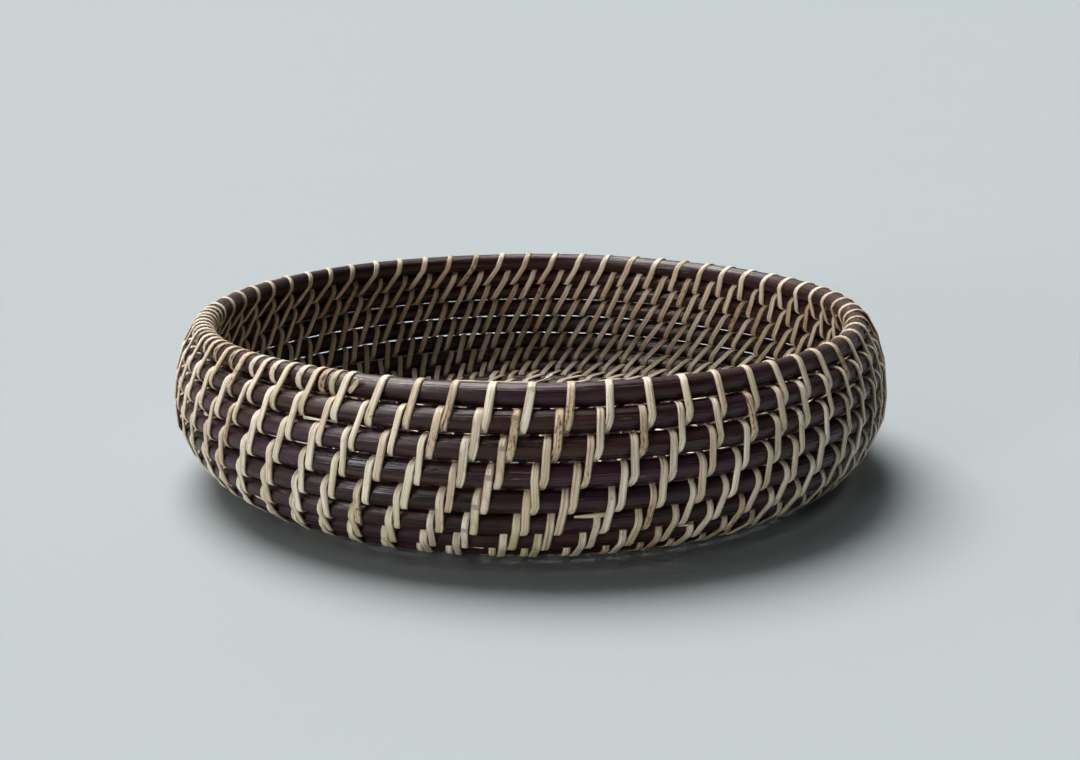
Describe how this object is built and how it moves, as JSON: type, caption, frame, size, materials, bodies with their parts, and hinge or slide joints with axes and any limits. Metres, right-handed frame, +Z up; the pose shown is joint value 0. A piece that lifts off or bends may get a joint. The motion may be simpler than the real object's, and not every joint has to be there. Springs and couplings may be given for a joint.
{
  "type": "fruit basket",
  "caption": "Round shallow fruit basket: dark stained rattan hoops laid edge to edge from an inward leaning rim to a flat coiled base, bound together with stitches of pale split cane.",
  "frame": {"origin": "on the surface that the basket stands on, under the middle of its round base", "axes": "+Z up along the basket's round axis, -Y towards the front of the basket, +X to the right of the front"},
  "size_m": [0.2828, 0.2828, 0.0648],
  "materials": {
    "stained_rattan": "satin, dark brown stain with a slight purple cast",
    "split_cane": "satin, natural straw"
  },
  "bodies": {
    "root": {"rim_hoop": "stained_rattan", "wall_hoop_1": "stained_rattan", "wall_hoop_2": "stained_rattan", "wall_hoop_3": "stained_rattan", "wall_hoop_4": "stained_rattan", "wall_hoop_5": "stained_rattan", "wall_hoop_6": "stained_rattan", "wall_hoop_7": "stained_rattan", "base_hoop_1": "stained_rattan", "base_hoop_2": "stained_rattan", "base_hoop_3": "stained_rattan", "base_hoop_4": "stained_rattan", "base_hoop_5": "stained_rattan", "base_hoop_6": "stained_rattan", "base_hoop_7": "stained_rattan", "base_hoop_8": "stained_rattan", "base_hoop_9": "stained_rattan", "base_hoop_10": "stained_rattan", "base_hoop_11": "stained_rattan", "base_coil": "stained_rattan", "rim_binding": "split_cane", "wall_binding_1": "split_cane", "wall_binding_2": "split_cane", "wall_binding_3": "split_cane", "wall_binding_4": "split_cane", "wall_binding_5": "split_cane", "wall_binding_6": "split_cane", "base_edge_binding": "split_cane", "base_binding_1": "split_cane", "base_binding_2": "split_cane", "base_binding_3": "split_cane", "base_binding_4": "split_cane", "base_binding_5": "split_cane", "base_binding_6": "split_cane", "base_binding_7": "split_cane", "base_binding_8": "split_cane", "base_binding_9": "split_cane", "base_binding_10": "split_cane", "centre_binding": "split_cane", "coil_binding": "split_cane", "rim_lashing": "split_cane"}
  },
  "joints": []
}
